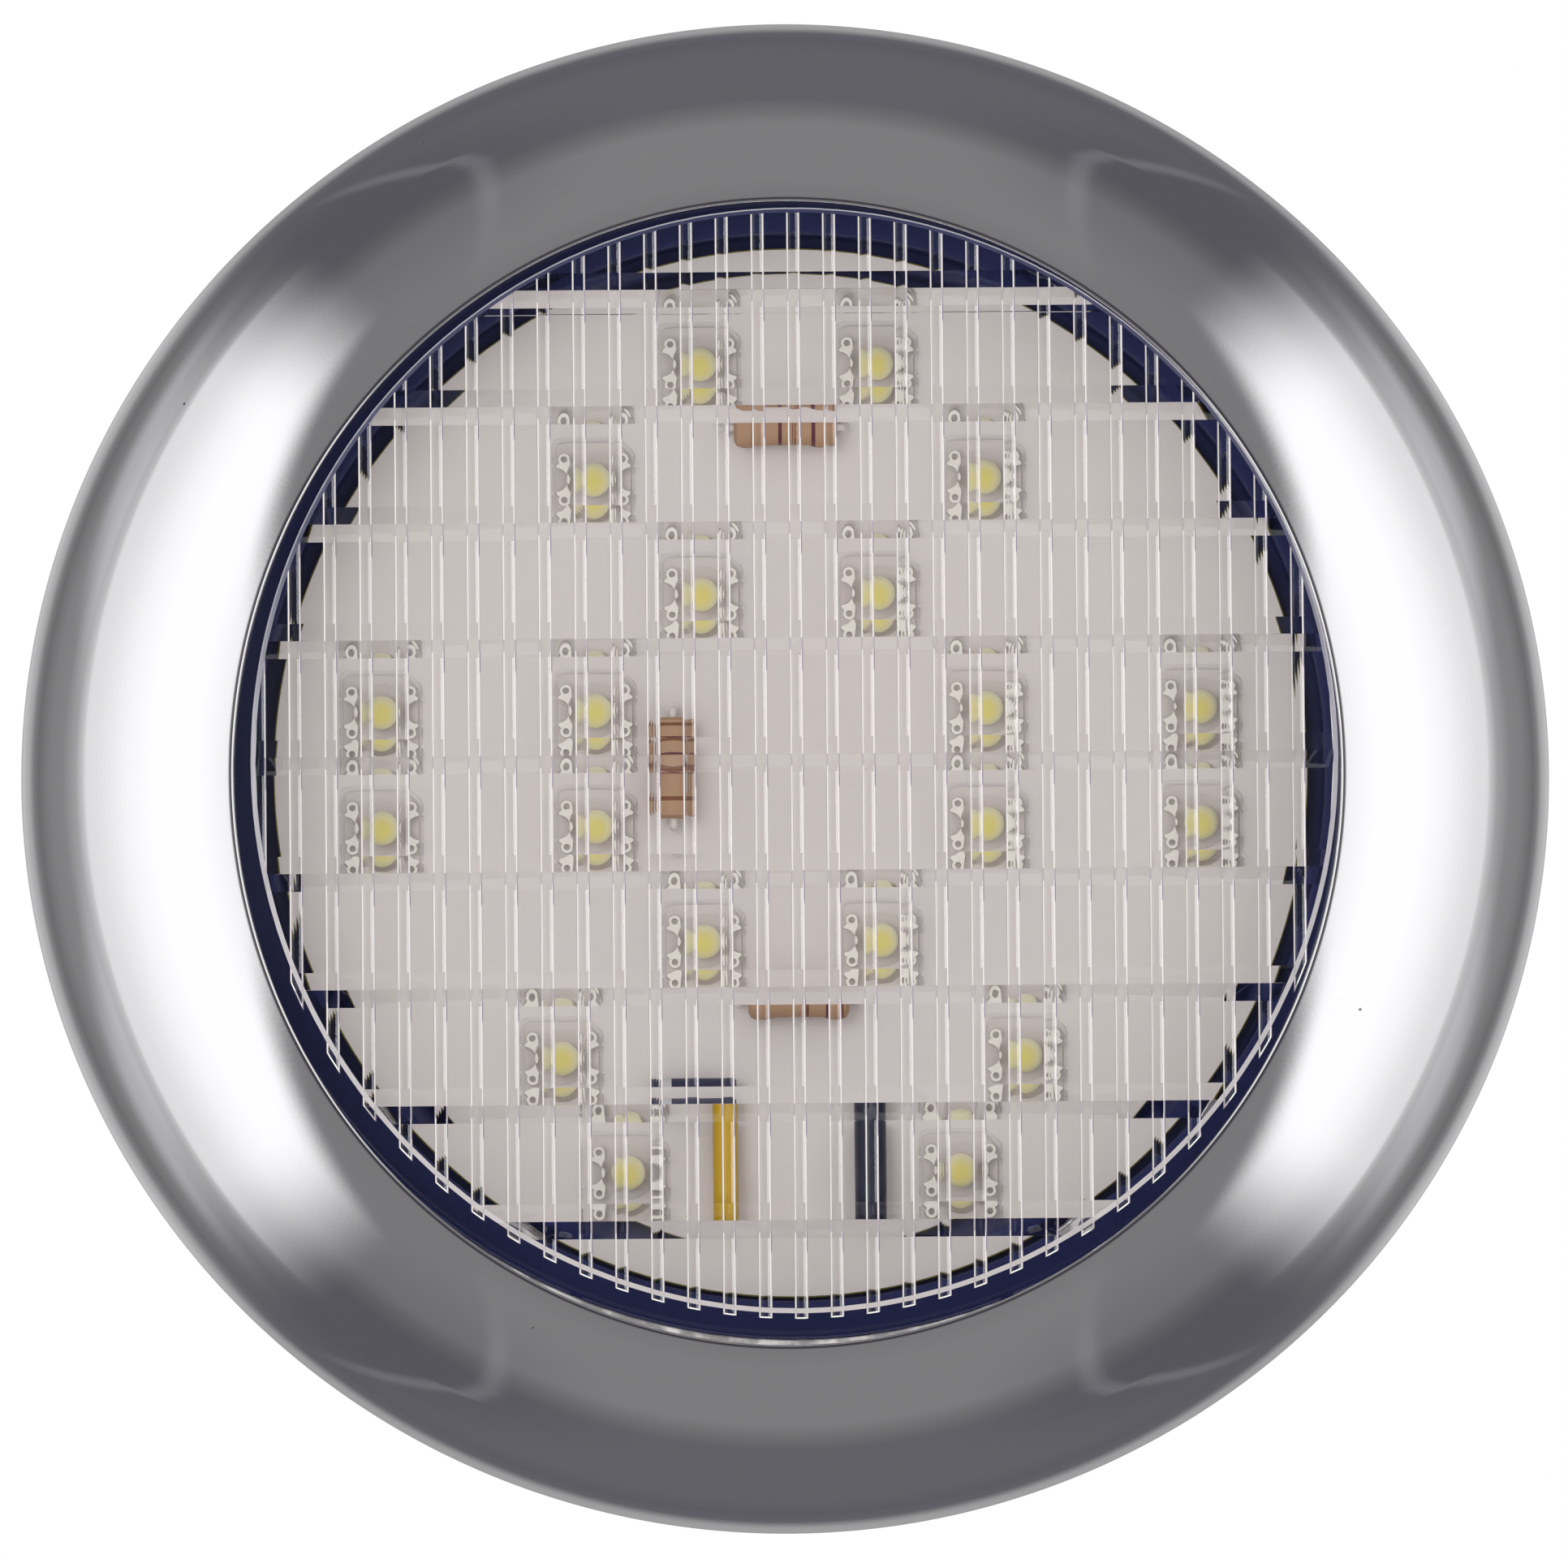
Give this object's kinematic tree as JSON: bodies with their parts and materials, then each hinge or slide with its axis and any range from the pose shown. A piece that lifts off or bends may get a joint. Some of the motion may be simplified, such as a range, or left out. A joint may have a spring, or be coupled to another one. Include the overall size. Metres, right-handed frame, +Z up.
{
  "type": "round led trailer lamp",
  "caption": "Round clear-lens LED lamp in a rubber panel grommet, with a domed satin chrome push-on trim ring and a two-wire plug.",
  "frame": {"origin": "on the trim ring's axis, half way between the ring's crown and the furthest point of the wires; the panel's front face is the plane Y = -26.7 mm, and the lamp's own axis is 0.5 mm right and 0.9 mm up of the ring's", "axes": "+Y along the lamp's axis, from the lens towards the plug; +Z up; +X to the right of someone facing the lens"},
  "size_m": [0.1404, 0.0802, 0.1388],
  "materials": {
    "satin_chrome": "satin",
    "black_rubber": "matte",
    "clear_lens": "gloss",
    "housing_plastic": "satin",
    "white_board": "satin",
    "sealant": "satin",
    "led_clear": "gloss",
    "resistor_tan": "satin",
    "diode_black": "satin",
    "insulation_yellow": "satin",
    "insulation_black": "satin",
    "insulation_white": "satin",
    "plated_brass": "satin",
    "plug_rubber": "satin",
    "bare_copper": "satin"
  },
  "bodies": {
    "mounting_grommet": {"grommet": "black_rubber"},
    "lamp_unit": {"lens": "clear_lens", "housing": "housing_plastic", "circuit_board": "white_board", "board_sealant": "sealant", "led_01": "led_clear", "led_02": "led_clear", "led_03": "led_clear", "led_04": "led_clear", "led_05": "led_clear", "led_06": "led_clear", "led_07": "led_clear", "led_08": "led_clear", "led_09": "led_clear", "led_10": "led_clear", "led_11": "led_clear", "led_12": "led_clear", "led_13": "led_clear", "led_14": "led_clear", "led_15": "led_clear", "led_16": "led_clear", "led_17": "led_clear", "led_18": "led_clear", "led_19": "led_clear", "led_20": "led_clear", "resistor_top": "resistor_tan", "resistor_left": "resistor_tan", "resistor_bottom": "resistor_tan", "diode": "diode_black", "lead_power": "insulation_yellow", "lead_ground": "insulation_black", "pin_power": "plated_brass", "pin_ground": "plated_brass"},
    "trim": {"trim_ring": "satin_chrome"},
    "plug": {"plug_body": "plug_rubber", "terminal_power": "plated_brass", "terminal_ground": "plated_brass", "wire_power": "insulation_black", "wire_ground": "insulation_white", "wire_core_power": "bare_copper", "wire_core_ground": "bare_copper"}
  },
  "joints": [
    {"name": "lamp_pull", "type": "slide", "parent": "mounting_grommet", "child": "lamp_unit", "axis": [0, -1, 0], "range_m": [0, 0.03]},
    {"name": "trim_pull", "type": "slide", "parent": "lamp_unit", "child": "trim", "axis": [0, -1, 0], "range_m": [0, 0.015]},
    {"name": "plug_pull", "type": "slide", "parent": "lamp_unit", "child": "plug", "axis": [0, 1, 0], "range_m": [0, 0.016]}
  ]
}
